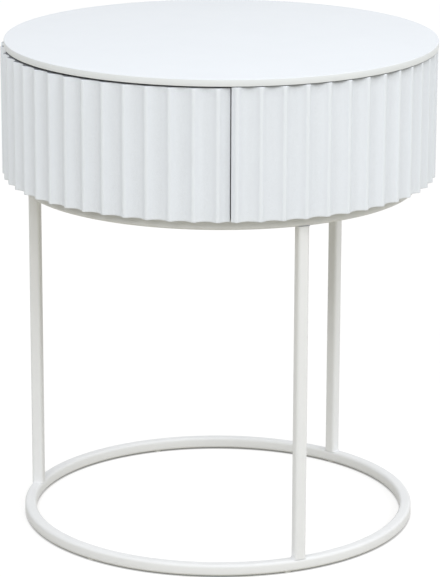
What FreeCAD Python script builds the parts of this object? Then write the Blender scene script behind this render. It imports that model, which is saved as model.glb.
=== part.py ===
import FreeCAD, Part
import math
import os
import Sketcher

# Round side table: a fluted drum with one curved drawer, carried by a slim frame of square tube.
# The floor is z = 0 and the drum's axis is Z. The drawer faces -Y and slides out that way.
# Angles round the axis are azimuths: 0 is the drawer's direction, and they grow towards +X.
# Lengths are in millimetres and angles in degrees.

SIZES = (
    # Frame of square tube
    ("tube_side", 12.0),
    ("tube_wall", 1.2),
    ("tube_corner", 2.0),
    ("frame_inset", 18.2),
    ("leg_length", 347.5),
    ("front_leg_angle", 63.7),
    ("glide_diameter", 9.0),
    ("glide_height", 1.0),
    ("glide_edge", 0.3),
    ("glide_count", 6),
    ("lug_length", 24.0),
    ("lug_width", 22.0),
    ("lug_thick", 3.0),
    ("lug_corner", 5.0),
    ("lug_hole_clear", 0.4),
    ("lug_count", 4),
    ("lug_first_angle", 45.0),
    ("weld_gap", 0.1),
    # Fluted wall of the drum
    ("ridge_radius", 225.0),
    ("flute_count", 60),
    ("flute_depth", 5.0),
    ("ridge_land", 3.0),
    ("ridge_round", 2.4),
    ("wall_thick", 17.0),
    ("drum_height", 135.0),
    ("front_ridge_count", 14),
    ("seam_share", 0.6),
    ("seam_gap", 1.1),
    ("reveal", 2.4),
    ("front_clear", 0.7),
    # Carcass inside the wall
    ("glue_gap", 0.3),
    ("base_thick", 12.0),
    ("carcass_top_thick", 12.0),
    ("top_inset", 1.6),
    ("top_thick", 6.0),
    ("top_setback", 3.0),
    ("top_edge_round", 0.8),
    ("partition_thick", 12.0),
    ("jamb_cover", 2.8),
    ("block_width", 20.0),
    ("block_depth", 18.0),
    ("block_height", 18.0),
    ("fore_block_angle", 70.0),
    ("aft_block_angle", 110.0),
    # Telescopic ball slides
    ("slide_thick", 12.7),
    ("slide_height", 45.0),
    ("slide_end_clear", 5.2),
    ("rail_steel", 1.2),
    ("rail_bend", 1.0),
    ("rail_web_gap", 1.2),
    ("rail_lip_recess", 2.0),
    ("rail_hole_clear", 0.3),
    ("ball_diameter", 3.2),
    ("ball_play", 0.1),
    ("ball_count", 3),
    ("cage_thick", 0.8),
    ("cage_width", 4.6),
    ("cage_length_share", 0.4),
    ("cage_back_share", 0.034),
    # Drawer box
    ("side_thick", 12.0),
    ("side_clear", 10.5),
    ("back_thick", 12.0),
    ("bottom_thick", 5.0),
    ("bottom_lift", 8.0),
    ("groove_depth", 5.0),
    ("groove_slack", 0.2),
    ("seat_gap", 0.3),
    ("finger_length", 120.0),
    ("finger_depth", 8.0),
    ("finger_height", 12.0),
    # Screws and dowels
    ("screw_diameter", 4.0),
    ("screw_head", 8.0),
    ("screw_head_height", 2.0),
    ("screw_tip", 2.0),
    ("frame_screw_bite", 8.0),
    ("top_screw_bite", 4.0),
    ("top_screw_share", 0.87),
    ("top_screw_count", 6),
    ("back_screw_bite", 22.0),
    ("back_screw_share", 0.12),
    ("bottom_screw_bite", 12.0),
    ("bottom_screw_share", 0.7),
    ("rail_screw_diameter", 3.5),
    ("rail_screw_head", 7.0),
    ("rail_screw_head_height", 0.8),
    ("rail_screw_bite", 9.0),
    ("rail_screw_share", 0.8),
    ("dowel_diameter", 8.0),
    ("dowel_length", 22.0),
    ("dowel_end", 0.8),
    ("dowel_bite", 8.0),
    ("partition_dowel_share", 0.66),
    ("front_dowel_share", 0.2),
    ("fastener_fit", 0.05),
    ("bore_clear", 0.5),
    # Working allowances
    ("overrun", 3.0),
    ("edge_match", 0.01),
)

Z_AXIS = FreeCAD.Vector(0, 0, 1)
X_AXIS = FreeCAD.Vector(1, 0, 0)
Y_AXIS = FreeCAD.Vector(0, 1, 0)

document = FreeCAD.newDocument("round_side_table")
sheet = document.addObject("Spreadsheet::Sheet", "Sizes")
for row, (alias, number) in enumerate(SIZES, start=1):
    sheet.set(f"A{row}", alias)
    sheet.set(f"B{row}", str(number))
    sheet.setAlias(f"B{row}", alias)
document.recompute()

# Radii and angles that follow from the driving sizes, as expressions on the sheet
WALL_INNER = "(Sizes.ridge_radius - Sizes.wall_thick)"
DISC_RADIUS = f"({WALL_INNER} - Sizes.glue_gap)"
FRONT_INNER = f"({WALL_INNER} + Sizes.front_clear)"
RING_RADIUS = "(Sizes.ridge_radius - Sizes.frame_inset - Sizes.tube_side / 2)"
RING_INNER = f"({RING_RADIUS} - Sizes.tube_side / 2)"
FLUTE_PITCH = "(360 / Sizes.flute_count)"
SEAM_HALF = f"(((Sizes.front_ridge_count - 1) / 2 + Sizes.seam_share) * {FLUTE_PITCH})"
GAP_HALF = "(90 * Sizes.seam_gap / (pi * Sizes.ridge_radius))"
OPENING_HALF = f"({WALL_INNER} * sin({SEAM_HALF}) - Sizes.jamb_cover)"
SLIDE_HALF = f"(sqrt({DISC_RADIUS}^2 - {OPENING_HALF}^2) - Sizes.slide_end_clear)"
SIDE_OUTER = f"({OPENING_HALF} - Sizes.slide_thick)"
SIDE_INNER = f"({SIDE_OUTER} - Sizes.side_thick)"

# Levels above the floor
LEG_Z = "(Sizes.glide_height + Sizes.tube_side)"
LOWER_RING_Z = "(Sizes.glide_height + Sizes.tube_side / 2)"
UPPER_RING_Z = f"({LEG_Z} + Sizes.leg_length + Sizes.tube_side / 2)"
DRUM_Z = f"({LEG_Z} + Sizes.leg_length + Sizes.tube_side)"
INSIDE_Z = f"({DRUM_Z} + Sizes.base_thick)"
DRUM_TOP_Z = f"({DRUM_Z} + Sizes.drum_height)"
CARCASS_TOP_Z = f"({DRUM_TOP_Z} - Sizes.carcass_top_thick)"
SLIDE_Z = f"(({INSIDE_Z} + {CARCASS_TOP_Z}) / 2)"
SIDE_Z = f"({INSIDE_Z} + Sizes.side_clear)"
SIDE_HEIGHT = f"({CARCASS_TOP_Z} - Sizes.side_clear - {SIDE_Z})"
BOTTOM_Z = f"({SIDE_Z} + Sizes.bottom_lift)"
BACK_Z = f"({BOTTOM_Z} + Sizes.bottom_thick)"
BACK_HEIGHT = f"({SIDE_Z} + {SIDE_HEIGHT} - {BACK_Z})"


def measure(expression):
    """The number that an expression on the sheet comes to."""
    return float(sheet.evalExpression(expression))


def size(alias):
    """One value of the sheet."""
    return measure(f"Sizes.{alias}")


def bind(made, **expressions):
    """Binds an object's properties to expressions; a double underscore in a name stands for a dot."""
    for name, expression in expressions.items():
        made.setExpression(name.replace("__", "."), expression)
    return made


def new_body(label):
    made = document.addObject("PartDesign::Body", label)
    made.Label = label
    return made


def new_sketch(owner, role, label):
    """An empty sketch on one of the body's own origin planes."""
    made = owner.newObject("Sketcher::SketchObject", label)
    plane = next(feature for feature in owner.Origin.OriginFeatures if feature.Role == role)
    made.AttachmentSupport = (plane, "")
    made.MapMode = "FlatFace"
    return made


def pin(sketch, kind, geometry, point, expression):
    """Ties one coordinate of a sketch point to an expression, or to the axis where that is zero."""
    number = measure(expression)
    if number == 0:
        axis = -2 if kind == "DistanceX" else -1
        sketch.addConstraint(Sketcher.Constraint("PointOnObject", geometry, point, axis))
        return
    index = sketch.addConstraint(Sketcher.Constraint(kind, -1, 1, geometry, point, number))
    sketch.setExpression(f"Constraints[{index}]", expression)


def draw_outline(sketch, points):
    """Draws a closed straight-sided outline whose corners follow the given expressions."""
    first = sketch.GeometryCount
    places = [FreeCAD.Vector(measure(across), measure(up), 0) for across, up in points]
    for index, place in enumerate(places):
        following = places[(index + 1) % len(places)]
        sketch.addGeometry(Part.LineSegment(place, following), False)
    for index in range(len(places)):
        following = first + (index + 1) % len(places)
        sketch.addConstraint(Sketcher.Constraint("Coincident", first + index, 2, following, 1))
    for index, (across, up) in enumerate(points):
        pin(sketch, "DistanceX", first + index, 1, across)
        pin(sketch, "DistanceY", first + index, 1, up)


def draw_circle(sketch, radius, across="0", up="0"):
    """Draws a circle whose centre and radius follow the given expressions."""
    centre = FreeCAD.Vector(measure(across), measure(up), 0)
    geometry = sketch.addGeometry(Part.Circle(centre, Z_AXIS, measure(radius)), False)
    pin(sketch, "DistanceX", geometry, 3, across)
    pin(sketch, "DistanceY", geometry, 3, up)
    index = sketch.addConstraint(Sketcher.Constraint("Radius", geometry, measure(radius)))
    sketch.setExpression(f"Constraints[{index}]", radius)


def pad(owner, sketch, length, side="One side"):
    made = owner.newObject("PartDesign::Pad", sketch.Name + "_pad")
    made.Profile = sketch
    made.SideType = side
    return bind(made, Length=length)


def turn(owner, sketch):
    """Turns a profile a full circle about the sketch's upright axis."""
    made = owner.newObject("PartDesign::Revolution", sketch.Name + "_turn")
    made.Profile = sketch
    made.ReferenceAxis = (sketch, ["V_Axis"])
    made.Angle = 360
    return made


def round_edges(owner, feature, label, radius, wanted):
    """Fillets the edges of a body's feature that the test picks out."""
    document.recompute()
    names = [f"Edge{index}" for index, edge in enumerate(feature.Shape.Edges, start=1) if wanted(edge)]
    made = owner.newObject("PartDesign::Fillet", label)
    made.Base = (feature, names)
    return bind(made, Radius=radius)


def is_close(number, target):
    return abs(number - target) < size("edge_match")


def is_straight(edge, axis):
    """Whether an edge is a straight line along the axis."""
    if not isinstance(edge.Curve, Part.Line):
        return False
    return abs(abs(edge.Curve.Direction.dot(axis)) - 1) < size("edge_match")


def box(label, length, width, height, across, along, up):
    """A block with its low corner at (across, along, up)."""
    made = document.addObject("Part::Box", label)
    bind(made, Length=length, Width=width, Height=height)
    return bind(made, Placement__Base__x=across, Placement__Base__y=along, Placement__Base__z=up)


def disc(label, radius, height, up):
    """An upright cylinder on the drum's axis."""
    made = document.addObject("Part::Cylinder", label)
    return bind(made, Radius=radius, Height=height, Placement__Base__z=up)


def common(label, first, second):
    made = document.addObject("Part::Common", label)
    made.Base = first
    made.Tool = second
    return made


def gathered(label, members):
    made = document.addObject("Part::Compound", label)
    made.Links = members
    return made


def cut(label, base, *tools):
    """Takes the tools away from a solid."""
    made = document.addObject("Part::Cut", label)
    made.Base = base
    made.Tool = tools[0] if len(tools) == 1 else gathered(label + "_tools", list(tools))
    return made


def mirrored(label, source):
    """The left-hand twin of a right-hand piece."""
    made = document.addObject("Part::Mirroring", label)
    made.Source = source
    made.Normal = X_AXIS
    return made


def copies(label, master, places):
    """Copies of one shape at each place, as separate solids under one name."""
    document.recompute()
    solids = []
    for place in places:
        solid = master.Shape.copy()
        solid.Placement = place.multiply(solid.Placement)
        solids.append(solid)
    made = document.addObject("Part::Feature", label)
    made.Shape = Part.makeCompound(solids)
    return made


def upright(across, along, up):
    """A place for a fastener that points up."""
    return FreeCAD.Placement(FreeCAD.Vector(across, along, up), FreeCAD.Rotation())


def sideways(across, along, up, sense):
    """A place for a fastener that points along X, to the right where the sense is 1."""
    return FreeCAD.Placement(FreeCAD.Vector(across, along, up), FreeCAD.Rotation(Y_AXIS, sense * 90))


def backwards(across, along, up):
    """A place for a fastener that points along +Y."""
    return FreeCAD.Placement(FreeCAD.Vector(across, along, up), FreeCAD.Rotation(X_AXIS, -90))


def around(azimuth, up):
    """A place that turns a piece made at azimuth 0 about the drum's axis."""
    return FreeCAD.Placement(FreeCAD.Vector(0, 0, up), FreeCAD.Rotation(Z_AXIS, azimuth))


def screw(label, diameter, head, head_height, length):
    """A screw that points up: its head's seat is at z = 0 and its tip is a short cone."""
    owner = new_body(label)
    profile = new_sketch(owner, "XZ_Plane", label + "_profile")
    draw_outline(profile, (
        ("0", f"-{head_height}"),
        (f"{head} / 2", f"-{head_height}"),
        (f"{head} / 2", "0"),
        (f"{diameter} / 2", "0"),
        (f"{diameter} / 2", f"{length} - Sizes.screw_tip"),
        ("0", length),
    ))
    turn(owner, profile)
    return owner


def wood_screw(label, length):
    return screw(label, "Sizes.screw_diameter", "Sizes.screw_head", "Sizes.screw_head_height", length)


def flush_screw(label, length):
    """A countersunk screw that points up: its head's flat top is at z = 0."""
    owner = new_body(label)
    profile = new_sketch(owner, "XZ_Plane", label + "_profile")
    draw_outline(profile, (
        ("0", "0"),
        ("Sizes.screw_head / 2", "0"),
        ("Sizes.screw_diameter / 2", "Sizes.screw_head_height"),
        ("Sizes.screw_diameter / 2", f"{length} - Sizes.screw_tip"),
        ("0", length),
    ))
    turn(owner, profile)
    return owner


def flush_bore(label, length):
    """The countersunk hole that a flush screw of this length fits."""
    owner = new_body(label)
    profile = new_sketch(owner, "XZ_Plane", label + "_profile")
    mouth = "Sizes.screw_head / 2 + Sizes.fastener_fit"
    hole = "Sizes.screw_diameter / 2 + Sizes.fastener_fit"
    draw_outline(profile, (
        ("0", "-Sizes.overrun"),
        (mouth, "-Sizes.overrun"),
        (mouth, "0"),
        (hole, "Sizes.screw_head_height"),
        (hole, f"{length} + Sizes.bore_clear"),
        ("0", f"{length} + Sizes.bore_clear"),
    ))
    turn(owner, profile)
    return owner


def bore(label, diameter, length):
    """The hole that a fastener of this diameter and length fits, from its seat to past its tip."""
    made = document.addObject("Part::Cylinder", label)
    return bind(made, Radius=f"{diameter} / 2 + Sizes.fastener_fit", Height=f"{length} + Sizes.bore_clear")


# Frame: two rings of square tube, three legs between them, lugs that take the screws, glides below

def square_corners(centre, half):
    """The corners of a square that lies level with its sketch's origin."""
    low, high = f"{centre} - ({half})", f"{centre} + ({half})"
    return ((low, f"-({half})"), (high, f"-({half})"), (high, half), (low, half))


TUBE_HALF = "Sizes.tube_side / 2"
TUBE_HALF_INSIDE = "Sizes.tube_side / 2 - Sizes.tube_wall"


def tube_ring(label, level):
    """A ring of hollow square tube."""
    owner = new_body(label)
    section = new_sketch(owner, "XZ_Plane", label + "_section")
    draw_outline(section, square_corners(RING_RADIUS, TUBE_HALF))
    draw_outline(section, square_corners(RING_RADIUS, TUBE_HALF_INSIDE))
    ring = turn(owner, section)
    outside = measure(TUBE_HALF)
    round_edges(owner, ring, label + "_corners", "Sizes.tube_corner",
                lambda edge: is_close(abs(edge.CenterOfMass.z), outside))
    return bind(owner, Placement__Base__z=level)


def tube_leg(label, azimuth):
    """An upright of hollow square tube between the rings, one face turned to the axis."""
    owner = new_body(label)
    section = new_sketch(owner, "XY_Plane", label + "_section")
    draw_outline(section, square_corners("0", TUBE_HALF))
    draw_outline(section, square_corners("0", TUBE_HALF_INSIDE))
    upright_tube = pad(owner, section, "Sizes.leg_length")
    outside = measure(TUBE_HALF)
    round_edges(owner, upright_tube, label + "_corners", "Sizes.tube_corner",
                lambda edge: is_straight(edge, Z_AXIS) and is_close(abs(edge.CenterOfMass.x), outside))
    bind(owner, Placement__Rotation__Angle=azimuth, Placement__Base__z=LEG_Z)
    return bind(owner, Placement__Base__x=f"{RING_RADIUS} * sin({azimuth})",
                Placement__Base__y=f"-{RING_RADIUS} * cos({azimuth})")


lower_ring = tube_ring("lower_ring", LOWER_RING_Z)
upper_ring = tube_ring("upper_ring", UPPER_RING_Z)
front_right_leg = tube_leg("front_right_leg", "Sizes.front_leg_angle")
front_left_leg = mirrored("front_left_leg", front_right_leg)
rear_leg = tube_leg("rear_leg", "180")


def lug_master():
    """A flat steel lug at azimuth 0, butted to the ring's inner face, with rounded inner corners."""
    owner = new_body("lug_plate")
    outline = new_sketch(owner, "XY_Plane", "lug_outline")
    half = "Sizes.lug_width / 2"
    tail = f"Sizes.lug_length - {RING_INNER}"
    draw_outline(outline, (
        (f"-{half}", f"-{RING_RADIUS}"), (half, f"-{RING_RADIUS}"), (half, tail), (f"-{half}", tail),
    ))
    draw_circle(outline, "Sizes.screw_diameter / 2 + Sizes.lug_hole_clear", "0", LUG_SCREW_PLACE)
    plate = pad(owner, outline, "Sizes.lug_thick")
    end = measure(tail)
    round_edges(owner, plate, "lug_corners", "Sizes.lug_corner",
                lambda edge: is_straight(edge, Z_AXIS) and is_close(edge.CenterOfMass.y, end))
    inside_ring = disc("lug_limit", f"{RING_INNER} - Sizes.weld_gap", "Sizes.lug_thick", "0")
    return common("lug_pattern", owner, inside_ring)


LUG_SCREW_PLACE = f"(Sizes.lug_length / 2 - {RING_INNER})"
lug_angles = [size("lug_first_angle") + index * 360 / size("lug_count")
              for index in range(int(size("lug_count")))]
lug_level = measure(f"{DRUM_Z} - Sizes.lug_thick")
mounting_lugs = copies("mounting_lugs", lug_master(), [around(angle, lug_level) for angle in lug_angles])

FRAME_SCREW_LENGTH = "(Sizes.lug_thick + Sizes.frame_screw_bite)"
frame_screw_places = [around(angle, lug_level).multiply(upright(0, measure(LUG_SCREW_PLACE), 0))
                      for angle in lug_angles]
frame_screws = copies("frame_screws", wood_screw("frame_screw", FRAME_SCREW_LENGTH), frame_screw_places)
frame_screw_bore = bore("frame_screw_bore", "Sizes.screw_diameter", FRAME_SCREW_LENGTH)
frame_screw_bores = copies("frame_screw_bores", frame_screw_bore, frame_screw_places)


def glide_master():
    """A low round glide at azimuth 0 under the ring, its lower rim chamfered."""
    owner = new_body("glide")
    profile = new_sketch(owner, "XZ_Plane", "glide_profile")
    radius = "Sizes.glide_diameter / 2"
    draw_outline(profile, (
        ("0", "0"), (f"{radius} - Sizes.glide_edge", "0"), (radius, "Sizes.glide_edge"),
        (radius, "Sizes.glide_height"), ("0", "Sizes.glide_height"),
    ))
    turn(owner, profile)
    return bind(owner, Placement__Base__y=f"-{RING_RADIUS}")


glide_angles = [index * 360 / size("glide_count") for index in range(int(size("glide_count")))]
floor_glides = copies("floor_glides", glide_master(), [around(angle, 0) for angle in glide_angles])


# Fluted wall: one ring with concave flutes all round, cut at the seams into the drawer front and the fixed shell

def fluted_wall():
    """The whole ring of the wall, each flute a round channel between narrow rounded ridges."""
    owner = new_body("fluted_wall")
    section = new_sketch(owner, "XY_Plane", "wall_section")
    draw_circle(section, "Sizes.ridge_radius")
    draw_circle(section, WALL_INNER)
    pad(owner, section, "Sizes.drum_height")

    flute_half = f"({FLUTE_PITCH} / 2 - 90 * Sizes.ridge_land / (pi * Sizes.ridge_radius))"
    half_chord = f"(Sizes.ridge_radius * sin({flute_half}))"
    rise = f"(Sizes.ridge_radius * cos({flute_half}) - Sizes.ridge_radius + Sizes.flute_depth)"
    flute_radius = f"(({half_chord}^2 + {rise}^2) / (2 * {rise}))"
    channel = new_sketch(owner, "XY_Plane", "flute_section")
    draw_circle(channel, flute_radius, "0", f"-(Sizes.ridge_radius - Sizes.flute_depth + {flute_radius})")
    flute = owner.newObject("PartDesign::Pocket", "flute")
    flute.Profile = channel
    flute.SideType = "Symmetric"
    bind(flute, Length="2 * (Sizes.drum_height + Sizes.overrun)")

    flutes = owner.newObject("PartDesign::PolarPattern", "flutes")
    flutes.Originals = [flute]
    flutes.Axis = (next(axis for axis in owner.Origin.OriginFeatures if axis.Role == "Z_Axis"), [""])
    flutes.Angle = 360
    bind(flutes, Occurrences="Sizes.flute_count")
    owner.Tip = flutes
    ridge_radius = size("ridge_radius")
    round_edges(owner, flutes, "ridges", "Sizes.ridge_round",
                lambda edge: is_straight(edge, Z_AXIS)
                and is_close(math.hypot(edge.CenterOfMass.x, edge.CenterOfMass.y), ridge_radius))
    return bind(owner, Placement__Base__z=DRUM_Z)


def wedge(label, half_angle, height, level):
    """An upright wedge from the axis over the drawer's share of the wall."""
    owner = new_body(label)
    outline = new_sketch(owner, "XY_Plane", label + "_outline")
    reach = "(Sizes.ridge_radius + Sizes.overrun)"
    spread = f"{reach} * tan({half_angle})"
    draw_outline(outline, (("0", "0"), (f"-{spread}", f"-{reach}"), (spread, f"-{reach}")))
    pad(owner, outline, height)
    return bind(owner, Placement__Base__z=level)


wall = fluted_wall()
opening_wedge = wedge("opening_wedge", f"({SEAM_HALF} + {GAP_HALF})",
                      "Sizes.drum_height + 2 * Sizes.overrun", f"{DRUM_Z} - Sizes.overrun")
fixed_shell = cut("fixed_shell", wall, opening_wedge)


# Carcass: base panel, carcass top, partitions beside the drawer, glue blocks behind the shell, and the top

def dowel_master(label):
    """A dowel that points up, with chamfered ends."""
    owner = new_body(label)
    profile = new_sketch(owner, "XZ_Plane", label + "_profile")
    radius = "Sizes.dowel_diameter / 2"
    draw_outline(profile, (
        ("0", "0"), (f"{radius} - Sizes.dowel_end", "0"), (radius, "Sizes.dowel_end"),
        (radius, "Sizes.dowel_length - Sizes.dowel_end"),
        (f"{radius} - Sizes.dowel_end", "Sizes.dowel_length"), ("0", "Sizes.dowel_length"),
    ))
    turn(owner, profile)
    return owner


def dowel_bore(label):
    """The hole for a whole dowel, a little longer at both ends."""
    made = document.addObject("Part::Cylinder", label)
    bind(made, Radius="Sizes.dowel_diameter / 2 + Sizes.fastener_fit")
    return bind(made, Height="Sizes.dowel_length + 2 * Sizes.bore_clear", Placement__Base__z="-Sizes.bore_clear")


dowel = dowel_master("dowel")
dowel_hole = dowel_bore("dowel_bore")
partition_middle = measure(f"{OPENING_HALF} + Sizes.partition_thick / 2")
partition_dowel_y = measure(f"{SLIDE_HALF} * Sizes.partition_dowel_share")
low_dowel_z = measure(f"{INSIDE_Z} - Sizes.dowel_bite")
high_dowel_z = measure(f"{CARCASS_TOP_Z} + Sizes.dowel_bite - Sizes.dowel_length")
partition_dowel_places = [upright(side * partition_middle, end * partition_dowel_y, level)
                          for side in (-1, 1) for end in (-1, 1) for level in (low_dowel_z, high_dowel_z)]
partition_dowels = copies("partition_dowels", dowel, partition_dowel_places)
partition_dowel_bores = copies("partition_dowel_bores", dowel_hole, partition_dowel_places)

TOP_SCREW_LENGTH = "(Sizes.carcass_top_thick + Sizes.top_screw_bite)"
top_screw_step = 360 / size("top_screw_count")
top_screw_reach = upright(0, -measure(f"{OPENING_HALF} * Sizes.top_screw_share"), 0)
top_screw_places = [around((index + 1 / 2) * top_screw_step, measure(CARCASS_TOP_Z)).multiply(top_screw_reach)
                    for index in range(int(size("top_screw_count")))]
top_screws = copies("top_screws", flush_screw("top_screw", TOP_SCREW_LENGTH), top_screw_places)
top_screw_bores = copies("top_screw_bores", flush_bore("top_screw_bore", TOP_SCREW_LENGTH), top_screw_places)

base_panel = cut("base_panel", disc("base_disc", DISC_RADIUS, "Sizes.base_thick", DRUM_Z),
                 frame_screw_bores, partition_dowel_bores)
carcass_top = cut("carcass_top", disc("carcass_top_disc", DISC_RADIUS, "Sizes.carcass_top_thick", CARCASS_TOP_Z),
                  top_screw_bores, partition_dowel_bores)


def top_disc():
    """The thin round top, its upper rim eased, set back a little from the drawer."""
    owner = new_body("top_disc")
    outline = new_sketch(owner, "XY_Plane", "top_outline")
    draw_circle(outline, "Sizes.ridge_radius - Sizes.top_inset")
    plate = pad(owner, outline, "Sizes.top_thick")
    upper_rim = size("top_thick")
    round_edges(owner, plate, "top_rim", "Sizes.top_edge_round",
                lambda edge: is_close(edge.CenterOfMass.z, upper_rim))
    return bind(owner, Placement__Base__y="Sizes.top_setback", Placement__Base__z=DRUM_TOP_Z)


top_panel = cut("top_panel", top_disc(), top_screw_bores)


def slide_screw_places(seat, sense):
    """Places of a slide's screws on both sides: the right-hand ones point along X by the sense."""
    reach = measure(f"{SLIDE_HALF} * Sizes.rail_screw_share")
    level = measure(SLIDE_Z)
    return [sideways(side * measure(seat), along, level, side * sense)
            for side in (-1, 1) for along in (-reach, 0, reach)]


RAIL_SCREW_LENGTH = "(Sizes.rail_steel + Sizes.rail_screw_bite)"


def rail_screw(label):
    return screw(label, "Sizes.rail_screw_diameter", "Sizes.rail_screw_head", "Sizes.rail_screw_head_height",
                 RAIL_SCREW_LENGTH)


rail_bore = bore("rail_screw_bore", "Sizes.rail_screw_diameter", RAIL_SCREW_LENGTH)
rail_hole = document.addObject("Part::Cylinder", "rail_hole")
bind(rail_hole, Radius="Sizes.rail_screw_diameter / 2 + Sizes.rail_hole_clear", Height="3 * Sizes.rail_steel",
     Placement__Base__z="-Sizes.rail_steel")
fixed_rail_places = slide_screw_places(f"{OPENING_HALF} - Sizes.rail_steel", 1)
drawer_rail_places = slide_screw_places(f"{SIDE_OUTER} + Sizes.rail_steel", -1)
outer_rail_screws = copies("outer_rail_screws", rail_screw("outer_rail_screw"), fixed_rail_places)
inner_rail_screws = copies("inner_rail_screws", rail_screw("inner_rail_screw"), drawer_rail_places)
fixed_rail_bores = copies("fixed_rail_bores", rail_bore, fixed_rail_places)
drawer_rail_bores = copies("drawer_rail_bores", rail_bore, drawer_rail_places)
fixed_rail_holes = copies("fixed_rail_holes", rail_hole, fixed_rail_places)
drawer_rail_holes = copies("drawer_rail_holes", rail_hole, drawer_rail_places)

partition_board = box("partition_board", "Sizes.partition_thick", "2 * Sizes.ridge_radius",
                      f"{CARCASS_TOP_Z} - {INSIDE_Z}", OPENING_HALF, "-Sizes.ridge_radius", INSIDE_Z)
partition_limit = disc("partition_limit", DISC_RADIUS, f"{CARCASS_TOP_Z} - {INSIDE_Z}", INSIDE_Z)
right_partition = cut("right_partition", common("partition_blank", partition_board, partition_limit),
                      partition_dowel_bores, fixed_rail_bores)
left_partition = mirrored("left_partition", right_partition)

block_piece = box("block_piece", "Sizes.block_width", "Sizes.block_depth", "Sizes.block_height",
                  "-Sizes.block_width / 2", f"-{DISC_RADIUS}", "0")
block_limit = disc("block_limit", DISC_RADIUS, "Sizes.block_height", "0")
block_angles = [side * size(name) for side in (-1, 1) for name in ("fore_block_angle", "aft_block_angle")]
block_angles.append(180)
block_levels = (measure(INSIDE_Z), measure(f"{CARCASS_TOP_Z} - Sizes.block_height"))
glue_blocks = copies("glue_blocks", common("glue_block", block_piece, block_limit),
                     [around(angle, level) for angle in block_angles for level in block_levels])


# Slides: each has three nested rails with two rows of balls between each pair, all the same length
# Depths are from the partition's face towards the drawer; heights are from the slide's middle.

BALL_SPACE = "(Sizes.ball_diameter + 2 * Sizes.ball_play)"
OUTER_TOP = "(Sizes.slide_height / 2)"
MIDDLE_TOP = f"({OUTER_TOP} - Sizes.rail_steel - {BALL_SPACE})"
INNER_TOP = f"({MIDDLE_TOP} - Sizes.rail_steel - {BALL_SPACE})"
MIDDLE_NEAR = "(Sizes.rail_steel + Sizes.rail_web_gap)"
INNER_NEAR = f"({MIDDLE_NEAR} + Sizes.rail_steel + Sizes.rail_web_gap)"
LIP_DEPTH = "(Sizes.slide_thick - Sizes.rail_lip_recess)"


def channel_rail(label, web_face, web_back, lip, top):
    """A rail folded to a channel: a web with two flanges, given by depths and the flanges' outer height."""
    owner = new_body(label)
    section = new_sketch(owner, "XZ_Plane", label + "_section")
    inside = f"({top} - Sizes.rail_steel)"
    face, back, edge = (f"{OPENING_HALF} - {depth}" for depth in (web_face, web_back, lip))
    draw_outline(section, (
        (face, f"-{top}"), (edge, f"-{top}"), (edge, f"-{inside}"), (back, f"-{inside}"),
        (back, inside), (edge, inside), (edge, top), (face, top),
    ))
    folded = pad(owner, section, f"2 * {SLIDE_HALF}", "Symmetric")
    web_x, fold_z = measure(face), measure(top)
    round_edges(owner, folded, label + "_folds", "Sizes.rail_bend",
                lambda fold: is_straight(fold, Y_AXIS) and is_close(fold.CenterOfMass.x, web_x)
                and is_close(abs(fold.CenterOfMass.z), fold_z))
    return bind(owner, Placement__Base__z=SLIDE_Z)


outer_channel = channel_rail("outer_channel", "0", "Sizes.rail_steel", LIP_DEPTH, OUTER_TOP)
right_outer_rail = cut("right_outer_rail", outer_channel, fixed_rail_holes)
right_middle_rail = channel_rail("right_middle_rail", MIDDLE_NEAR, f"({MIDDLE_NEAR} + Sizes.rail_steel)",
                                 LIP_DEPTH, MIDDLE_TOP)
inner_channel = channel_rail("inner_channel", "Sizes.slide_thick", "(Sizes.slide_thick - Sizes.rail_steel)",
                             INNER_NEAR, INNER_TOP)
right_inner_rail = cut("right_inner_rail", inner_channel, drawer_rail_holes)
left_outer_rail = mirrored("left_outer_rail", right_outer_rail)
left_middle_rail = mirrored("left_middle_rail", right_middle_rail)
left_inner_rail = mirrored("left_inner_rail", right_inner_rail)


def ball_cage(label, race_top, race_near, race_far):
    """Two strips with a row of balls each, above and below, that run in the space below a flange."""
    depth = f"(({race_near} + {race_far}) / 2)"
    row = f"({race_top} - {BALL_SPACE} / 2)"
    length = f"(2 * {SLIDE_HALF} * Sizes.cage_length_share)"
    start = f"({SLIDE_HALF} * 2 * Sizes.cage_back_share - {length} / 2)"
    pitch = measure(length) / size("ball_count")
    ball = document.addObject("Part::Sphere", label + "_ball")
    bind(ball, Radius="Sizes.ball_diameter / 2")
    hole = document.addObject("Part::Cylinder", label + "_hole")
    bind(hole, Radius="Sizes.ball_diameter / 2 + Sizes.ball_play", Height="3 * Sizes.cage_thick",
         Placement__Base__z="-3 * Sizes.cage_thick / 2")
    across = measure(f"{OPENING_HALF} - {depth}")
    members = []
    for name, sense in (("upper", ""), ("lower", "-")):
        level = f"({SLIDE_Z} + {sense}{row})"
        strip = box(f"{label}_{name}_strip", "Sizes.cage_width", length, "Sizes.cage_thick",
                    f"{OPENING_HALF} - {depth} - Sizes.cage_width / 2", start, f"{level} - Sizes.cage_thick / 2")
        places = [upright(across, measure(start) + (index + 1 / 2) * pitch, measure(level))
                  for index in range(int(size("ball_count")))]
        members.append(cut(f"{label}_{name}_cage", strip, copies(f"{label}_{name}_holes", hole, places)))
        members.append(copies(f"{label}_{name}_balls", ball, places))
    return gathered(label, members)


right_outer_cages = ball_cage("right_outer_cages", f"({OUTER_TOP} - Sizes.rail_steel)", MIDDLE_NEAR, LIP_DEPTH)
right_inner_cages = ball_cage("right_inner_cages", f"({MIDDLE_TOP} - Sizes.rail_steel)", INNER_NEAR, LIP_DEPTH)
left_outer_cages = mirrored("left_outer_cages", right_outer_cages)
left_inner_cages = mirrored("left_inner_cages", right_inner_cages)


# Drawer: a box on the inner rails behind the curved front, its bottom held in grooves

side_middle = measure(f"{SIDE_OUTER} - Sizes.side_thick / 2")
front_face_y = -measure(f"sqrt({FRONT_INNER}^2 - ({SIDE_OUTER} - Sizes.side_thick / 2)^2)")


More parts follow.
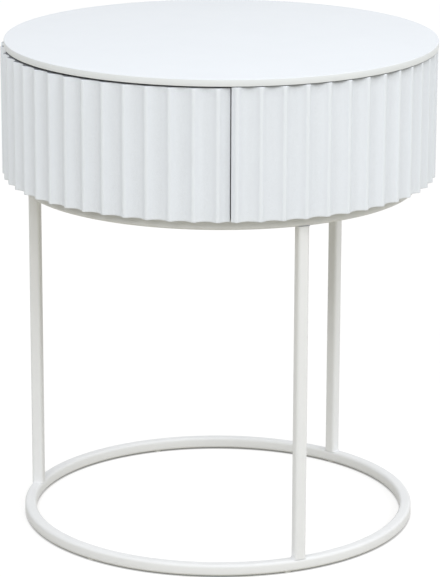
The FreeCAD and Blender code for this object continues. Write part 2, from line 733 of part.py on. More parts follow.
def levels_above_bottom(share):
    """Two levels, each in by the share of the height between the drawer's bottom and its rim."""
    return [measure(f"{BACK_Z} + {BACK_HEIGHT} * {part}") for part in (share, f"(1 - {share})")]


front_dowel_places = [backwards(side * side_middle, front_face_y - size("dowel_bite"), level)
                      for side in (-1, 1) for level in levels_above_bottom("Sizes.front_dowel_share")]
front_dowels = copies("front_dowels", dowel, front_dowel_places)
front_dowel_bores = copies("front_dowel_bores", dowel_hole, front_dowel_places)

BACK_SCREW_LENGTH = "(Sizes.side_thick + Sizes.back_screw_bite)"
back_middle_y = measure(f"{SLIDE_HALF} - Sizes.back_thick / 2")
back_screw_places = [sideways(side * measure(SIDE_OUTER), back_middle_y, level, -side)
                     for side in (-1, 1) for level in levels_above_bottom("Sizes.back_screw_share")]
back_screws = copies("back_screws", flush_screw("back_screw", BACK_SCREW_LENGTH), back_screw_places)
back_screw_bores = copies("back_screw_bores", flush_bore("back_screw_bore", BACK_SCREW_LENGTH), back_screw_places)

BOTTOM_SCREW_LENGTH = "(Sizes.bottom_thick + Sizes.bottom_screw_bite)"
bottom_screw_reach = measure(f"{SIDE_INNER} * Sizes.bottom_screw_share")
bottom_screw_places = [upright(across, back_middle_y, measure(BOTTOM_Z))
                       for across in (-bottom_screw_reach, 0, bottom_screw_reach)]
bottom_screws = copies("bottom_screws", flush_screw("bottom_screw", BOTTOM_SCREW_LENGTH), bottom_screw_places)
bottom_screw_bores = copies("bottom_screw_bores", flush_bore("bottom_screw_bore", BOTTOM_SCREW_LENGTH),
                            bottom_screw_places)

GROOVE_HALF = f"({SIDE_INNER} + Sizes.groove_depth)"
GROOVE_HEIGHT = "(Sizes.bottom_thick + 2 * Sizes.groove_slack)"
groove_block = box("groove_block", f"2 * {GROOVE_HALF}", "2 * Sizes.ridge_radius", GROOVE_HEIGHT,
                   f"-{GROOVE_HALF}", "-Sizes.ridge_radius", f"{BOTTOM_Z} - Sizes.groove_slack")
groove_limit = disc("groove_limit", f"{FRONT_INNER} + Sizes.groove_depth", GROOVE_HEIGHT,
                    f"{BOTTOM_Z} - Sizes.groove_slack")
bottom_groove = common("bottom_groove", groove_block, groove_limit)


def drawer_front_blank():
    """The drawer's share of the fluted wall, lower than the shell by the reveal and bored out to clear."""
    front_wedge = wedge("front_wedge", f"({SEAM_HALF} - {GAP_HALF})", "Sizes.drum_height - Sizes.reveal", DRUM_Z)
    share = common("front_share", wall, front_wedge)
    relief = disc("front_relief", FRONT_INNER, "Sizes.drum_height + 2 * Sizes.overrun",
                  f"{DRUM_Z} - Sizes.overrun")
    return cut("front_blank", share, relief)


def finger_groove():
    """The hidden finger hold routed into the front's lower edge from behind."""
    block = box("finger_block", "Sizes.finger_length", "Sizes.ridge_radius",
                "Sizes.finger_height + Sizes.overrun", "-Sizes.finger_length / 2", "-Sizes.ridge_radius",
                f"{DRUM_Z} - Sizes.overrun")
    limit = disc("finger_limit", f"{FRONT_INNER} + Sizes.finger_depth", "Sizes.finger_height + Sizes.overrun",
                 f"{DRUM_Z} - Sizes.overrun")
    return common("finger_groove", block, limit)


drawer_front = cut("drawer_front", drawer_front_blank(), bottom_groove, finger_groove(), front_dowel_bores)

side_board = box("side_board", "Sizes.side_thick", f"Sizes.ridge_radius + {SLIDE_HALF}", SIDE_HEIGHT,
                 SIDE_INNER, "-Sizes.ridge_radius", SIDE_Z)
side_limit = disc("side_limit", f"{FRONT_INNER} - Sizes.seat_gap", SIDE_HEIGHT, SIDE_Z)
drawer_right_side = cut("drawer_right_side", common("side_blank", side_board, side_limit),
                        bottom_groove, front_dowel_bores, drawer_rail_bores, back_screw_bores)
drawer_left_side = mirrored("drawer_left_side", drawer_right_side)

back_board = box("back_board", f"2 * {SIDE_INNER}", "Sizes.back_thick", BACK_HEIGHT,
                 f"-{SIDE_INNER}", f"{SLIDE_HALF} - Sizes.back_thick", BACK_Z)
drawer_back = cut("drawer_back", back_board, back_screw_bores, bottom_screw_bores)

BOTTOM_HALF = f"({GROOVE_HALF} - Sizes.groove_slack)"
bottom_board = box("bottom_board", f"2 * {BOTTOM_HALF}", f"Sizes.ridge_radius + {SLIDE_HALF}",
                   "Sizes.bottom_thick", f"-{BOTTOM_HALF}", "-Sizes.ridge_radius", BOTTOM_Z)
bottom_limit = disc("bottom_limit", f"{FRONT_INNER} + Sizes.groove_depth - Sizes.groove_slack",
                    "Sizes.bottom_thick", BOTTOM_Z)
drawer_bottom = cut("drawer_bottom", common("bottom_blank", bottom_board, bottom_limit), bottom_screw_bores)


# Every piece of the table, each written under its own name

PIECES = (
    lower_ring, upper_ring, front_left_leg, front_right_leg, rear_leg,
    mounting_lugs, frame_screws, floor_glides,
    base_panel, carcass_top, top_panel, fixed_shell, left_partition, right_partition,
    partition_dowels, glue_blocks, top_screws,
    left_outer_rail, right_outer_rail, left_middle_rail, right_middle_rail, left_inner_rail, right_inner_rail,
    left_outer_cages, right_outer_cages, left_inner_cages, right_inner_cages,
    outer_rail_screws, inner_rail_screws,
    drawer_front, drawer_left_side, drawer_right_side, drawer_back, drawer_bottom,
    front_dowels, back_screws, bottom_screws,
)

document.recompute()
for made in document.Objects:
    if "Invalid" in made.State or "Error" in made.State:
        raise RuntimeError(f"{made.Label} did not build: {made.State}")
for piece in PIECES:
    if piece.Shape.isNull() or not piece.Shape.isValid() or not piece.Shape.Solids:
        raise RuntimeError(f"{piece.Label} has no sound solid")

os.makedirs("parts", exist_ok=True)
for piece in PIECES:
    piece.Shape.exportStep(f"parts/{piece.Label}.step")
    print(piece.Label, len(piece.Shape.Solids), round(piece.Shape.Volume))
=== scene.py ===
import logging
import math
from collections.abc import Callable, Sequence
from dataclasses import dataclass, field, replace
from enum import Enum

import bmesh
import bpy
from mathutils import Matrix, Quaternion, Vector


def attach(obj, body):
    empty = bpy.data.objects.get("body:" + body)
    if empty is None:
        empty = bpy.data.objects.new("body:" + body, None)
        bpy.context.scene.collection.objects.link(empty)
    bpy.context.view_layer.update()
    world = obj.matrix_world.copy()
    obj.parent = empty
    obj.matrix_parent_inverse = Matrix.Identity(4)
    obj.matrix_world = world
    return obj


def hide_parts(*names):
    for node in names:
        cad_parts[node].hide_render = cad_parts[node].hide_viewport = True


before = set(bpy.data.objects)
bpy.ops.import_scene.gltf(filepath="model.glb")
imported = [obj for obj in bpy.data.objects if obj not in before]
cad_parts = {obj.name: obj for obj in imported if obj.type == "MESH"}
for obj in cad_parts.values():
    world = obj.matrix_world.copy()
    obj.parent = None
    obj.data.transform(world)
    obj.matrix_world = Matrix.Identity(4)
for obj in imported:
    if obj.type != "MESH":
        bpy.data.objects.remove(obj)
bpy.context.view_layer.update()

LOG = logging.getLogger("round_side_table")
Triple = tuple[float, float, float]
Element = bmesh.types.BMVert | bmesh.types.BMEdge | bmesh.types.BMFace

# Limits, in metres, within which points are one, in line, closed by a spin or at a ridge's corner
MERGE = 1e-6
IN_LINE = 5 * MERGE
SPIN_MERGE = 20 * MERGE
AT_CORNER = 50 * MERGE

# Limits of a normal's upright share: beyond the first a face lies level, within the second it stands
LEVEL_FACE = 0.9
STEEP_FACE = 0.5


class Part(Enum):
    """What a selection in edit mode is made of."""

    POINT = "VERT"
    EDGE = "EDGE"
    FACE = "FACE"


class Hand(Enum):
    """A side of the table, seen from the drawer's side."""

    LEFT = -1
    RIGHT = 1


# Finishes

@dataclass(frozen=True)
class Finish:
    """A surface with faint colour mottling, uneven gloss and a fine raised grain.

    Sizes are in metres: mottle_size and grain_size are the width of a patch and of a grain. Shade is
    painted into the colour where the surface is shut in, in creases and under overhangs: the colour
    darkens by up to the share crease, from crease_open down to crease_shut of what it could see within
    crease_reach.
    """

    name: str
    slot: str
    colour: Triple
    mottle: float
    mottle_size: float
    roughness: float
    gloss_swing: float
    grain_size: float
    grain_height: float
    metallic: float = 0.0
    shine: float = 0.5
    stretch: Triple = (1.0, 1.0, 1.0)
    mottle_span: tuple[float, float] = (0.3, 0.7)
    mottle_detail: float = 4.0
    gloss_patches: float = 3.0
    fine_detail: float = 2.0
    # The crease fields set painted shade: ambient occlusion darkens the colour in creases and under
    # overhangs.
    crease: float = 0.0
    crease_reach: float = 0.012
    crease_shut: float = 0.6
    crease_open: float = 0.88
    crease_samples: int = 8

    def shades(self) -> tuple[Triple, Triple]:
        """Works out the two colours of the mottling.

        Returns:
            The darker and the lighter colour.
        """
        dark = tuple(part * (1 - self.mottle) for part in self.colour)
        light = tuple(min(1.0, part * (1 + self.mottle)) for part in self.colour)
        return dark, light

    def place(self, tree: bpy.types.NodeTree) -> bpy.types.NodeSocket:
        """Gives a point's own place in the piece, stretched along the grain.

        Args:
            tree: The material's node tree.

        Returns:
            The place that a texture reads.
        """
        spot = tree.nodes.new("ShaderNodeTexCoord")
        mapping = tree.nodes.new("ShaderNodeMapping")
        mapping.inputs["Scale"].default_value = self.stretch
        tree.links.new(spot.outputs["Object"], mapping.inputs["Vector"])
        return mapping.outputs["Vector"]

    def noise(self, tree: bpy.types.NodeTree, size: float, detail: float) -> bpy.types.NodeSocket:
        """Adds a noise texture in the piece's own place.

        Args:
            tree: The material's node tree.
            size: The width of one patch, in metres.
            detail: How many finer layers the noise has.

        Returns:
            The noise.
        """
        noise = tree.nodes.new("ShaderNodeTexNoise")
        noise.inputs["Scale"].default_value = 1 / size
        noise.inputs["Detail"].default_value = detail
        tree.links.new(self.place(tree), noise.inputs["Vector"])
        return noise.outputs["Fac"]

    def pattern(self, tree: bpy.types.NodeTree) -> bpy.types.NodeSocket:
        """The value that mixes the two shades over the surface."""
        return self.noise(tree, self.mottle_size, self.mottle_detail)

    def paint_crease_shade(self, tree: bpy.types.NodeTree,
                       colour: bpy.types.NodeSocket) -> bpy.types.NodeSocket:
        """Paints shade into the colour in joints and under overhangs, where the surface is shut in.

        Args:
            tree: The material's node tree.
            colour: The colour of the open surface.

        Returns:
            The colour with its creases darkened.
        """
        open_sky = tree.nodes.new("ShaderNodeAmbientOcclusion")
        open_sky.samples = self.crease_samples
        open_sky.inputs["Distance"].default_value = self.crease_reach
        depth = tree.nodes.new("ShaderNodeMapRange")
        depth.inputs["From Min"].default_value = self.crease_shut
        depth.inputs["From Max"].default_value = self.crease_open
        depth.inputs["To Min"].default_value = 1 - self.crease
        tree.links.new(open_sky.outputs["AO"], depth.inputs["Value"])
        greyed = tree.nodes.new("ShaderNodeVectorMath")
        greyed.operation = "SCALE"
        tree.links.new(colour, greyed.inputs["Vector"])
        tree.links.new(depth.outputs["Result"], greyed.inputs["Scale"])
        return greyed.outputs["Vector"]

    def material(self) -> bpy.types.Material:
        """Makes the finish's material, or gives the one that is already made.

        Returns:
            The material.
        """
        made = bpy.data.materials.get(self.name)
        if made is not None:
            return made
        made = bpy.data.materials.new(self.name)
        made.use_nodes = True
        tree = made.node_tree
        shader = tree.nodes["Principled BSDF"]
        shader.inputs["Metallic"].default_value = self.metallic
        shader.inputs["Specular IOR Level"].default_value = self.shine

        mottling = tree.nodes.new("ShaderNodeValToRGB")
        for stop, spot, shade in zip(mottling.color_ramp.elements, self.mottle_span, self.shades()):
            stop.position = spot
            stop.color = (*shade, 1)
        tree.links.new(self.pattern(tree), mottling.inputs["Fac"])
        colour = mottling.outputs["Color"]
        # Where crease is set, shade is painted into the colour.
        if self.crease:
            colour = self.paint_crease_shade(tree, colour)
        tree.links.new(colour, shader.inputs["Base Color"])

        gloss = tree.nodes.new("ShaderNodeMapRange")
        gloss.inputs["To Min"].default_value = self.roughness - self.gloss_swing
        gloss.inputs["To Max"].default_value = self.roughness + self.gloss_swing
        patches = self.noise(tree, self.mottle_size / self.gloss_patches, self.fine_detail)
        tree.links.new(patches, gloss.inputs["Value"])
        tree.links.new(gloss.outputs["Result"], shader.inputs["Roughness"])

        bump = tree.nodes.new("ShaderNodeBump")
        bump.inputs["Distance"].default_value = self.grain_height
        tree.links.new(self.noise(tree, self.grain_size, self.fine_detail), bump.inputs["Height"])
        tree.links.new(bump.outputs["Normal"], shader.inputs["Normal"])
        return made


@dataclass(frozen=True)
class WoodFinish(Finish):
    """Bare wood: growth bands along the grain under the mottling.

    The wave texture turns wave_rate times faster than its scale, which is set from band, in metres.
    """

    band: float = 0.006
    band_detail: float = 3.0
    wander: float = 3.0
    wave_rate: float = 20.0

    def pattern(self, tree: bpy.types.NodeTree) -> bpy.types.NodeSocket:
        """Adds the growth bands, pushed about by noise, that mix the two shades.

        Args:
            tree: The material's node tree.

        Returns:
            The bands.
        """
        wave = tree.nodes.new("ShaderNodeTexWave")
        wave.inputs["Scale"].default_value = 1 / self.band / self.wave_rate
        wave.inputs["Distortion"].default_value = self.wander
        wave.inputs["Detail"].default_value = self.band_detail
        tree.links.new(self.place(tree), wave.inputs["Vector"])
        return wave.outputs["Fac"]


# The lacquer paints shade into its creases and under the top's overhang (crease).
LACQUER = Finish("satin_white_lacquer", "white_lacquer", (0.754, 0.79, 0.832),
                 mottle=0.006, mottle_size=0.06, roughness=0.42, gloss_swing=0.05,
                 grain_size=0.0022, grain_height=0.000012, shine=0.25, crease=0.6)
# A lighter, bluer copy of the top's lacquer for the drum's wall: painted light that sets the wall's
# brightness against the top's. It also paints shade into creases.
LIT_WALL_LACQUER = replace(LACQUER, name="satin_white_lacquer_lit_wall", colour=(0.763, 0.802, 0.862))
POWDER_COAT = Finish("satin_powder_coat", "white_powder_coat", (0.783, 0.797, 0.817),
                     mottle=0.008, mottle_size=0.03, roughness=0.5, gloss_swing=0.05,
                     grain_size=0.0007, grain_height=0.00002, shine=0.25)
EDGE_BAND = Finish("white_edge_band", "white_lacquer", (0.752, 0.782, 0.808),
                   mottle=0.008, mottle_size=0.04, roughness=0.45, gloss_swing=0.05,
                   grain_size=0.0015, grain_height=0.000012, shine=0.35)
# Bare board for the top's underside: partly the board's own colour, partly a dark sheet of painted shade
# that deepens the reveal under the top.
BARE_BOARD_AND_SHADE = Finish("bare_fibreboard_and_shade", "white_lacquer", (0.3, 0.25, 0.19),
                    mottle=0.08, mottle_size=0.004, roughness=0.8, gloss_swing=0.05,
                    grain_size=0.0006, grain_height=0.00003, shine=0.2)
BOARD = Finish("white_faced_board", "white_board", (0.82, 0.83, 0.83),
               mottle=0.012, mottle_size=0.02, roughness=0.5, gloss_swing=0.06,
               grain_size=0.0005, grain_height=0.000015)
PANEL = Finish("thin_white_panel", "white_panel", (0.8, 0.81, 0.81),
               mottle=0.012, mottle_size=0.02, roughness=0.55, gloss_swing=0.06,
               grain_size=0.0005, grain_height=0.000015)
BEECH = WoodFinish("bare_beech", "raw_wood", (0.6, 0.42, 0.25),
                   mottle=0.16, mottle_size=0.01, roughness=0.62, gloss_swing=0.08,
                   grain_size=0.0006, grain_height=0.00004, stretch=(1.0, 1.0, 0.12))
ZINC_SCREW = Finish("zinc_plated_screw", "zinc_screw", (0.62, 0.63, 0.64),
                    mottle=0.06, mottle_size=0.004, roughness=0.34, gloss_swing=0.08,
                    grain_size=0.0004, grain_height=0.00001, metallic=1.0)
ZINC_RAIL = Finish("zinc_plated_strip", "zinc_rail", (0.66, 0.67, 0.68),
                   mottle=0.05, mottle_size=0.02, roughness=0.36, gloss_swing=0.09,
                   grain_size=0.0006, grain_height=0.00001, metallic=1.0, stretch=(1.0, 0.06, 1.0))
BALL_STEEL = Finish("bright_ball_steel", "ball_steel", (0.7, 0.7, 0.71),
                    mottle=0.03, mottle_size=0.004, roughness=0.2, gloss_swing=0.05,
                    grain_size=0.0006, grain_height=0.000005, metallic=1.0)
GLIDE_PLASTIC = Finish("soft_white_plastic", "glide_plastic", (0.8, 0.8, 0.78),
                       mottle=0.02, mottle_size=0.004, roughness=0.6, gloss_swing=0.06,
                       grain_size=0.0004, grain_height=0.00002)


# Hand tools: selection, shaping and finishing of a mesh

def deselect() -> None:
    """Leaves edit mode and selects nothing."""
    if bpy.context.object is not None and bpy.context.object.mode != "OBJECT":
        bpy.ops.object.mode_set(mode="OBJECT")
    bpy.ops.object.select_all(action="DESELECT")


def begin(name: str) -> bpy.types.Object:
    """Names the primitive just added, puts its place into its mesh and opens it in edit mode.

    Args:
        name: The piece's name.

    Returns:
        The object, in edit mode with everything selected.
    """
    piece = bpy.context.object
    piece.name = name
    piece.data.name = name
    bpy.ops.object.transform_apply(location=True, rotation=True, scale=True)
    bpy.ops.object.mode_set(mode="EDIT")
    bpy.ops.mesh.select_all(action="SELECT")
    return piece


def middle(element: Element) -> Vector:
    """Finds the middle of a part of a mesh.

    Args:
        element: A point, edge or face.

    Returns:
        Its middle point.
    """
    if isinstance(element, bmesh.types.BMVert):
        return element.co
    if isinstance(element, bmesh.types.BMEdge):
        return (element.verts[0].co + element.verts[1].co) / 2
    return element.calc_center_median()


def pick(piece: bpy.types.Object, part: Part, wanted: Callable[[Element], bool]) -> int:
    """Selects, in edit mode, only the elements that a test picks out.

    Args:
        piece: The object in edit mode.
        part: Whether points, edges or faces are selected.
        wanted: The test by place or normal.

    Returns:
        How many elements are selected.
    """
    bpy.ops.mesh.select_mode(type=part.value)
    bpy.ops.mesh.select_all(action="DESELECT")
    mesh = bmesh.from_edit_mesh(piece.data)
    choices = {Part.POINT: mesh.verts, Part.EDGE: mesh.edges, Part.FACE: mesh.faces}[part]
    chosen = [element for element in choices if wanted(element)]
    for element in chosen:
        element.select_set(True)
    mesh.select_flush_mode()
    bmesh.update_edit_mesh(piece.data)
    return len(chosen)


def azimuth(point: Vector) -> float:
    """The angle of a point round the axis: 0 at the drawer, growing towards +X."""
    return math.atan2(point.x, -point.y)


def radius(point: Vector) -> float:
    """The distance of a point from the table's axis."""
    return math.hypot(point.x, point.y)


def heading(angle: float) -> Vector:
    """The level direction out from the axis at an azimuth."""
    return Vector((math.sin(angle), -math.cos(angle), 0))


def same(first: float, second: float, slack: float = 2e-5) -> bool:
    """Whether two lengths agree."""
    return abs(first - second) < slack


def level_edge(edge: bmesh.types.BMEdge, height: float) -> bool:
    """Whether an edge lies level at a height."""
    return all(same(point.co.z, height) for point in edge.verts)


def upright_edge(edge: bmesh.types.BMEdge) -> bool:
    """Whether an edge stands upright."""
    first, second = (point.co for point in edge.verts)
    return same(first.x, second.x, IN_LINE) and same(first.y, second.y, IN_LINE)


def extrude_edges(shift: Triple) -> None:
    """Extrudes the selected edges by a shift."""
    bpy.ops.mesh.extrude_edges_move(TRANSFORM_OT_translate={"value": shift})


def extrude_faces(shift: Triple) -> None:
    """Extrudes the selected faces by a shift."""
    bpy.ops.mesh.extrude_region_move(TRANSFORM_OT_translate={"value": shift})


def spread(factor: float, centre: Triple = (0, 0, 0)) -> None:
    """Scales the selection level, out from a centre."""
    bpy.ops.transform.resize(value=(factor, factor, 1), center_override=centre)


def bevel(width: float, segments: int, clamp: bool = False) -> None:
    """Rounds the selected edges, held back by their neighbours where clamp is true."""
    bpy.ops.mesh.bevel(offset=width, segments=segments, profile=0.5, affect="EDGES",
                       clamp_overlap=clamp)


def mend(piece: bpy.types.Object) -> None:
    """Merges doubled points and turns every face outwards.

    Args:
        piece: The object in edit mode.
    """
    bpy.ops.mesh.select_mode(type=Part.POINT.value)
    bpy.ops.mesh.select_all(action="SELECT")
    bpy.ops.mesh.remove_doubles(threshold=MERGE)
    bpy.ops.mesh.normals_make_consistent(inside=False)
    LOG.debug("%s mended", piece.name)


def take_away(piece: bpy.types.Object, cutter: bpy.types.Object) -> None:
    """Cuts a solid away from a piece and removes the cutter.

    Args:
        piece: The piece that is cut.
        cutter: The solid that is taken away.
    """
    deselect()
    bpy.context.view_layer.objects.active = piece
    piece.select_set(True)
    cut = piece.modifiers.new("cut", "BOOLEAN")
    cut.operation = "DIFFERENCE"
    cut.solver = "EXACT"
    cut.object = cutter
    bpy.ops.object.modifier_apply(modifier=cut.name)
    bpy.data.objects.remove(cutter)


def close(piece: bpy.types.Object, crease: float = 38.0) -> bpy.types.Object:
    """Leaves edit mode with the mesh mended and smooth except at sharp edges.

    Args:
        piece: The piece.
        crease: The angle in degrees from which an edge stays sharp.

    Returns:
        The piece.
    """
    deselect()
    piece.select_set(True)
    bpy.context.view_layer.objects.active = piece
    bpy.ops.object.mode_set(mode="EDIT")
    mend(piece)
    bpy.ops.object.mode_set(mode="OBJECT")
    bpy.ops.object.transform_apply(location=True, rotation=True, scale=True)
    bpy.ops.object.shade_smooth_by_angle(angle=math.radians(crease))
    return piece


def copies(master: bpy.types.Object, name: str,
           places: Sequence[tuple[Vector, Quaternion]]) -> bpy.types.Object:
    """Puts a copy of a piece, with its own mesh, at each place, and joins them to one piece.

    Args:
        master: The piece made at the origin, which is used up.
        name: The joined piece's name.
        places: Where each copy goes and how it is turned.

    Returns:
        The joined piece.
    """
    made = []
    for spot, turn in places:
        deselect()
        master.select_set(True)
        bpy.context.view_layer.objects.active = master
        bpy.ops.object.duplicate()
        copy = bpy.context.object
        copy.rotation_mode = "QUATERNION"
        copy.rotation_quaternion = turn
        copy.location = spot
        bpy.ops.object.transform_apply(location=True, rotation=True, scale=True)
        made.append(copy)
    deselect()
    for copy in made:
        copy.select_set(True)
    bpy.context.view_layer.objects.active = made[0]
    if len(made) > 1:
        bpy.ops.object.join()
    joined = bpy.context.object
    joined.name = name
    joined.data.name = name
    bpy.data.objects.remove(master)
    return joined


def fit(piece: bpy.types.Object, finish: Finish, body: str, *nodes: str) -> bpy.types.Object:
    """Gives a new piece its finish, its body and the nodes that it stands for.

    Args:
        piece: The finished piece.
        finish: Its finish.
        body: The body that it moves with.
        nodes: The solids that it replaces.

    Returns:
        The piece.
    """
    piece.data.materials.clear()
    piece.data.materials.append(finish.material())
    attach(piece, body)
    if nodes:
        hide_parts(*nodes)
    LOG.info("%s: %d faces on %s", piece.name, len(piece.data.polygons), body)
    return piece


def dress(finish: Finish, *nodes: str) -> None:
    """Gives solids that stay as they are their finish.

    Args:
        finish: The finish.
        nodes: The solids' names.
    """
    for node in nodes:
        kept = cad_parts[node]
        for slot in kept.material_slots:
            slot.material = finish.material()
        if not kept.material_slots:
            kept.data.materials.append(finish.material())
        LOG.info("%s: dressed in %s", node, finish.name)


# Drum

@dataclass
class FlutedDrum:
    """The drum's wall: concave flutes between narrow ridges, parted into a fixed shell and a front."""

    ridge_radius: float = 0.225
    flute_depth: float = 0.005
    flute_count: int = 60
    ridge_land: float = 0.003
    ridge_round: float = 0.0011
    ridge_segments: int = 5
    arc_points: int = 144
    arc_room: float = 1.2
    inner_radius: float = 0.208
    front_inner_radius: float = 0.2087
    low: float = 0.3725
    height: float = 0.1334
    front_height: float = 0.1318
    front_tilt: float = 0.0045
    shell_turn: float = math.radians(-0.89)
    front_turn: float = math.radians(0.38)
    rim: float = 0.0006
    rim_turns: tuple[float, ...] = (30.0, 60.0, 90.0)
    rim_strip: float = 0.0015
    seam_angle: float = math.radians(42.6)
    seam_gap: float = 0.00074
    seam_round: float = 0.0002
    seam_segments: int = 2
    seam_reach: float = 4.0
    hold_sides: int = 240
    hold_overlap: float = 0.0024
    hold_length: float = 0.12
    hold_depth: float = 0.008
    hold_height: float = 0.012

    @property
    def half_pitch(self) -> float:
        """Half of the angle from one flute to the next."""
        return math.pi / self.flute_count

    @property
    def flute_half(self) -> float:
        """Half of the angle that one flute's mouth spans."""
        return self.half_pitch - self.ridge_land / self.ridge_radius / 2

    @property
    def flute_radius(self) -> float:
        """Works out the hollow of a flute from its mouth and its depth.

        Returns:
            The hollow's radius.
        """
        half_chord = self.ridge_radius * math.sin(self.flute_half)
        rise = self.ridge_radius * (math.cos(self.flute_half) - 1) + self.flute_depth
        return (half_chord ** 2 + rise ** 2) / (2 * rise)

    def outline(self, name: str, level: float, turn: float) -> bpy.types.Object:
        """Draws one flute as an arc between two half ridges and repeats it round the axis.

        Args:
            name: The new piece's name.
            level: The outline's height.
            turn: The azimuth of the first flute.

        Returns:
            The piece in edit mode.
        """
        deselect()
        centre = self.flute_depth - self.ridge_radius - self.flute_radius
        bpy.ops.mesh.primitive_circle_add(vertices=self.arc_points, radius=self.flute_radius,
                                          location=(0, centre, level))
        wall = begin(name)
        mouth = heading(self.flute_half) * self.ridge_radius
        room = self.arc_room * self.ridge_round / self.flute_radius
        reach = math.atan2(mouth.x, mouth.y - centre) - room
        pick(wall, Part.POINT, lambda point: abs(math.atan2(point.co.x, point.co.y - centre)) > reach)
        bpy.ops.mesh.delete(type="VERT")
        for hand in Hand:
            end = max((point.co.copy() for point in bmesh.from_edit_mesh(wall.data).verts),
                      key=lambda place: place.x * hand.value)
            pick(wall, Part.POINT, lambda point: same(point.co.x, end.x, MERGE))
            for angle in (self.flute_half, self.half_pitch):
                goal = heading(hand.value * angle) * self.ridge_radius + Vector((0, 0, level))
                bpy.ops.mesh.extrude_vertices_move(TRANSFORM_OT_translate={"value": goal - end})
                end = goal
        bpy.ops.mesh.select_all(action="SELECT")
        bpy.ops.mesh.spin(steps=self.flute_count, dupli=True, angle=math.tau,
                          center=(0, 0, 0), axis=(0, 0, 1))
        bpy.ops.mesh.select_all(action="SELECT")
        bpy.ops.mesh.remove_doubles(threshold=SPIN_MERGE)
        bpy.ops.object.mode_set(mode="OBJECT")
        wall.rotation_euler = (0, 0, turn)
        return begin(name)

    def roll_rim(self, wall: bpy.types.Object, edge: float, up: int, inner: float) -> None:
        """Rolls one rim of the wall inwards and carries it level to the inner face.

        Args:
            wall: The wall in edit mode.
            edge: The height of the open edge.
            up: 1 for the upper rim, -1 for the lower one.
            inner: The radius of the inner face.
        """
        pick(wall, Part.EDGE, lambda line: level_edge(line, edge))
        height, inset = 0.0, 0.0
        for turn in self.rim_turns:
            rise = self.rim * math.sin(math.radians(turn))
            pull = self.rim * (1 - math.cos(math.radians(turn)))
            extrude_edges((0, 0, up * (rise - height)))
            spread((self.ridge_radius - pull) / (self.ridge_radius - inset), (0, 0, edge))
            height, inset = rise, pull
        extrude_edges((0, 0, 0))
        bpy.ops.transform.tosphere(value=1)
        mesh = bmesh.from_edit_mesh(wall.data)
        reached = radius(next(point.co for point in mesh.verts if point.select))
        spread(inner / reached, (0, 0, edge))

    def whole_wall(self, name: str, height: float, inner: float, turn: float) -> bpy.types.Object:
        """Makes the wall all the way round, with a strip at each rim that keeps its shading level.

        Args:
            name: The new piece's name.
            height: The wall's height.
            inner: The radius of its inner face.
            turn: The azimuth of the first flute.

        Returns:
            The piece in edit mode.
        """
        low, high = self.low + self.rim, self.low + height - self.rim
        wall = self.outline(name, low, turn)
        for rise in (self.rim_strip, high - low - 2 * self.rim_strip, self.rim_strip):
            extrude_edges((0, 0, rise))
        pitch = 2 * self.half_pitch

        def at_corner(edge: bmesh.types.BMEdge) -> bool:
            """Tells whether an edge is an upright corner between a flute and its ridge.

            Args:
                edge: The edge.

            Returns:
                True for such a corner.
            """
            angle = (azimuth(edge.verts[0].co) - turn) % pitch
            nearest = min(abs(angle - corner) for corner in (self.flute_half, pitch - self.flute_half))
            return upright_edge(edge) and nearest * self.ridge_radius < AT_CORNER

        pick(wall, Part.EDGE, at_corner)
        bevel(self.ridge_round, self.ridge_segments)
        self.roll_rim(wall, high, 1, inner)
        self.roll_rim(wall, low, -1, inner)
        pick(wall, Part.EDGE, lambda edge: edge.is_boundary)
        bpy.ops.mesh.bridge_edge_loops()
        mend(wall)
        return wall

    def round_seams(self, wall: bpy.types.Object, half_angle: float) -> None:
        """Eases the edges of both seam faces of a part of the wall.

        Args:
            wall: The part in edit mode.
            half_angle: The seams' azimuth.
        """
        normals = [heading(hand.value * half_angle + math.pi / 2) for hand in Hand]

        def in_seam(edge: bmesh.types.BMEdge) -> bool:
            """Tells whether an edge lies in a seam's plane.

            Args:
                edge: The edge.

            Returns:
                True for an edge of a seam.
            """
            if middle(edge).y > 0:
                return False
            return any(all(abs(point.co.dot(normal)) < IN_LINE for point in edge.verts)
                       for normal in normals)

        pick(wall, Part.EDGE, in_seam)
        bevel(self.seam_round, self.seam_segments, clamp=True)

    def tilt_rim(self, front: bpy.types.Object) -> None:
        """Tilts the front's upper rim, so that the reveal narrows towards the right.

        Args:
            front: The front in edit mode.
        """
        high = self.low + self.front_height
        pick(front, Part.POINT, lambda point: point.co.z > high - 2 * self.rim)
        for point in (place for place in bmesh.from_edit_mesh(front.data).verts if place.select):
            point.co.z += point.co.x * self.front_tilt
        bmesh.update_edit_mesh(front.data)

    def build_front(self) -> bpy.types.Object:
        """Makes the drawer's curved front, with the finger hold behind its lower edge.

        Returns:
            The finished piece.
        """
        half_angle = self.seam_angle - self.seam_gap / self.ridge_radius / 2
        front = self.whole_wall("fluted_drawer_front", self.front_height, self.front_inner_radius,
                                self.front_turn)
        for hand in Hand:
            bpy.ops.mesh.select_all(action="SELECT")
            away = heading(hand.value * (half_angle + math.pi / 2))
            bpy.ops.mesh.bisect(plane_co=(0, 0, 0), plane_no=away, use_fill=True, clear_outer=True)
        self.round_seams(front, half_angle)
        self.tilt_rim(front)
        close(front)
        take_away(front, self.finger_hold())
        return close(front)

    def finger_hold(self) -> bpy.types.Object:
        """Makes the solid that the finger hold takes away from the front.

        Returns:
            The cutter.
        """
        deselect()
        depth = self.hold_height + self.hold_overlap
        half = self.hold_length / 2
        bpy.ops.mesh.primitive_cylinder_add(
            vertices=self.hold_sides, radius=self.front_inner_radius + self.hold_depth, depth=depth,
            location=(0, 0, self.low + self.hold_height - depth / 2))
        cutter = begin("finger_hold")
        planes = (((half, 0, 0), (1, 0, 0)), ((-half, 0, 0), (-1, 0, 0)),
                  ((0, -self.inner_radius / 2, 0), (0, 1, 0)))
        for spot, away in planes:
            bpy.ops.mesh.select_all(action="SELECT")
            bpy.ops.mesh.bisect(plane_co=spot, plane_no=away, use_fill=True, clear_outer=True)
        return close(cutter)

